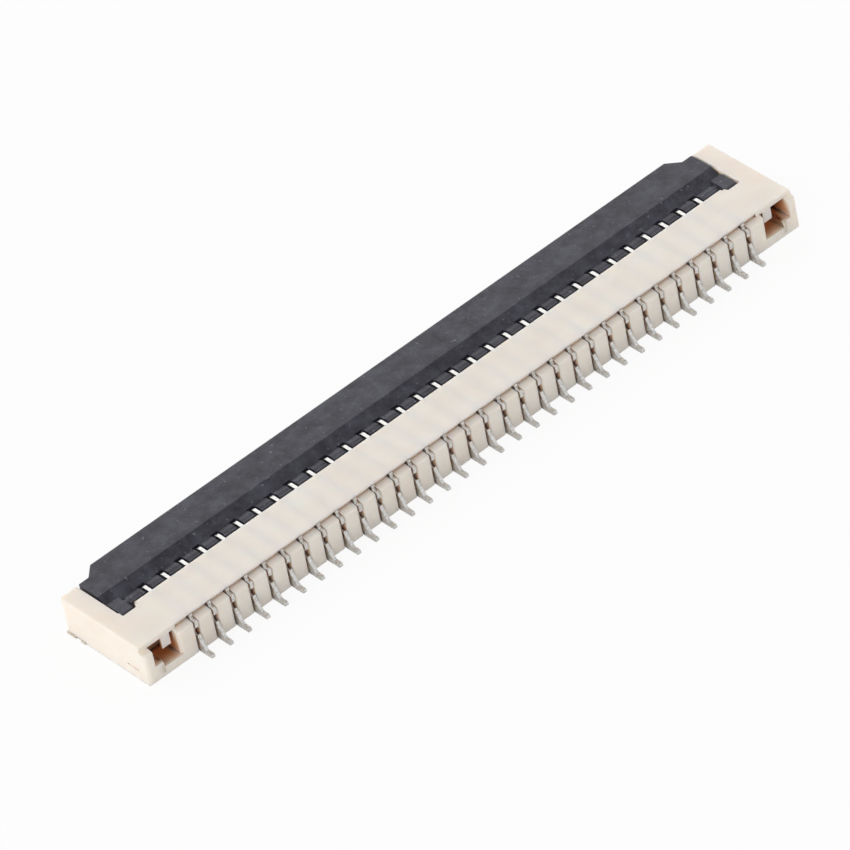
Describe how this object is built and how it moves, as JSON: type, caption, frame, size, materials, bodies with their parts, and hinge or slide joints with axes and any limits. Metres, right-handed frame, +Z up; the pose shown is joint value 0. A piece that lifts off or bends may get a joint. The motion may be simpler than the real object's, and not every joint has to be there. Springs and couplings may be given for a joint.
{
  "type": "fpc connector",
  "caption": "Low-profile right-angle flat-cable connector for a board: ivory housing, comb of spring contacts with solder tails, and a dark flip lock along the cable side.",
  "frame": {"origin": "centre of the bounding box at board level (Z = 0 is the board's surface)", "axes": "+X along the row of contacts, +Y towards the cable side, -Y towards the solder tails, +Z up from the board"},
  "size_m": [0.0366, 0.0066, 0.0019],
  "materials": {
    "housing_ivory": "ivory moulded polymer, satin",
    "actuator_charcoal": "dark grey moulded polymer, fine grain",
    "contact_tin": "stamped copper alloy, tin plated",
    "nail_tin": "stamped copper alloy, matt tin plated"
  },
  "bodies": {
    "base": {"housing": "housing_ivory", "contact_01": "contact_tin", "contact_02": "contact_tin", "contact_03": "contact_tin", "contact_04": "contact_tin", "contact_05": "contact_tin", "contact_06": "contact_tin", "contact_07": "contact_tin", "contact_08": "contact_tin", "contact_09": "contact_tin", "contact_10": "contact_tin", "contact_11": "contact_tin", "contact_12": "contact_tin", "contact_13": "contact_tin", "contact_14": "contact_tin", "contact_15": "contact_tin", "contact_16": "contact_tin", "contact_17": "contact_tin", "contact_18": "contact_tin", "contact_19": "contact_tin", "contact_20": "contact_tin", "contact_21": "contact_tin", "contact_22": "contact_tin", "contact_23": "contact_tin", "contact_24": "contact_tin", "contact_25": "contact_tin", "contact_26": "contact_tin", "contact_27": "contact_tin", "contact_28": "contact_tin", "contact_29": "contact_tin", "contact_30": "contact_tin", "contact_31": "contact_tin", "contact_32": "contact_tin", "fitting_nail_left": "nail_tin", "fitting_nail_right": "nail_tin"},
    "flip_lock": {"actuator": "actuator_charcoal"}
  },
  "joints": [
    {"name": "actuator_hinge", "type": "hinge", "parent": "base", "child": "flip_lock", "pos_m": [0, 0.00057, 0.00138], "axis": [1, 0, 0], "range_deg": [0, 90]}
  ]
}
